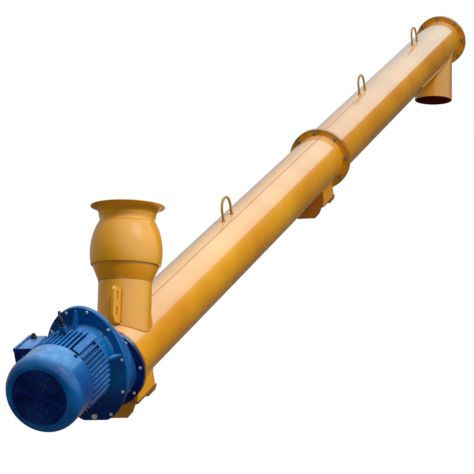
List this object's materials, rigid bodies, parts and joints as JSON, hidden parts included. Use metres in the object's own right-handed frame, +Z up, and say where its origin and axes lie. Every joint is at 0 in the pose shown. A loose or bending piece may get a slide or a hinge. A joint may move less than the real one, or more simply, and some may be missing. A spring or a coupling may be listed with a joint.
{
  "type": "tubular screw conveyor",
  "caption": "Inclined tubular screw conveyor with a ball inlet, vertical outlet spout, flanged tube sections, inspection hatches, lifting loops and a geared motor drive.",
  "frame": {"origin": "on the flat ring of the inlet rim, at its mid width on the outlet's side", "axes": "+Z up along the inlet's axis, +X along the plan of the tube from the drive to the outlet"},
  "size_m": [4.8691, 0.279, 2.6356],
  "materials": {
    "yellow_paint": "gloss enamel, yellow-orange",
    "blue_paint": "semi-gloss enamel, mid blue",
    "dark_blue_paint": "semi-gloss enamel, dark blue",
    "black_steel": "blackened, satin",
    "zinc_plate": "zinc plated",
    "bare_steel": "machined and worn bright"
  },
  "bodies": {
    "root": {"drive_end_flange": "yellow_paint", "drive_hatch_cover": "yellow_paint", "drive_hatch_end_plate": "yellow_paint", "drive_hatch_frame": "yellow_paint", "inlet_ball": "yellow_paint", "inlet_cone": "yellow_paint", "inlet_rim": "yellow_paint", "inlet_spout": "yellow_paint", "lifting_lug_1": "yellow_paint", "lifting_lug_2": "yellow_paint", "lifting_lug_3": "yellow_paint", "lower_tube": "yellow_paint", "middle_flange_lower": "yellow_paint", "middle_flange_upper": "yellow_paint", "middle_hatch_cover": "yellow_paint", "middle_hatch_end_plate": "yellow_paint", "middle_hatch_frame": "yellow_paint", "outlet_saddle": "yellow_paint", "outlet_spout": "yellow_paint", "slotted_bracket": "yellow_paint", "top_end_flange": "yellow_paint", "top_end_plate": "yellow_paint", "upper_tube": "yellow_paint", "eyebolt_boss": "blue_paint", "fan_cowl": "blue_paint", "gearbox_cover_disc": "blue_paint", "gearbox_housing": "blue_paint", "motor_body": "blue_paint", "motor_front_shield": "blue_paint", "nameplate_pad": "blue_paint", "fan_grille": "dark_blue_paint", "gearbox_base_flange": "dark_blue_paint", "motor_rear_shield": "dark_blue_paint", "terminal_box": "dark_blue_paint", "terminal_box_lid": "dark_blue_paint", "cable_gland": "black_steel", "eyebolt": "black_steel", "oil_drain_plug": "zinc_plate", "screw_flight_lower": "bare_steel", "screw_flight_upper": "bare_steel", "screw_shaft": "bare_steel", "top_bearing_housing": "bare_steel"}
  },
  "joints": []
}
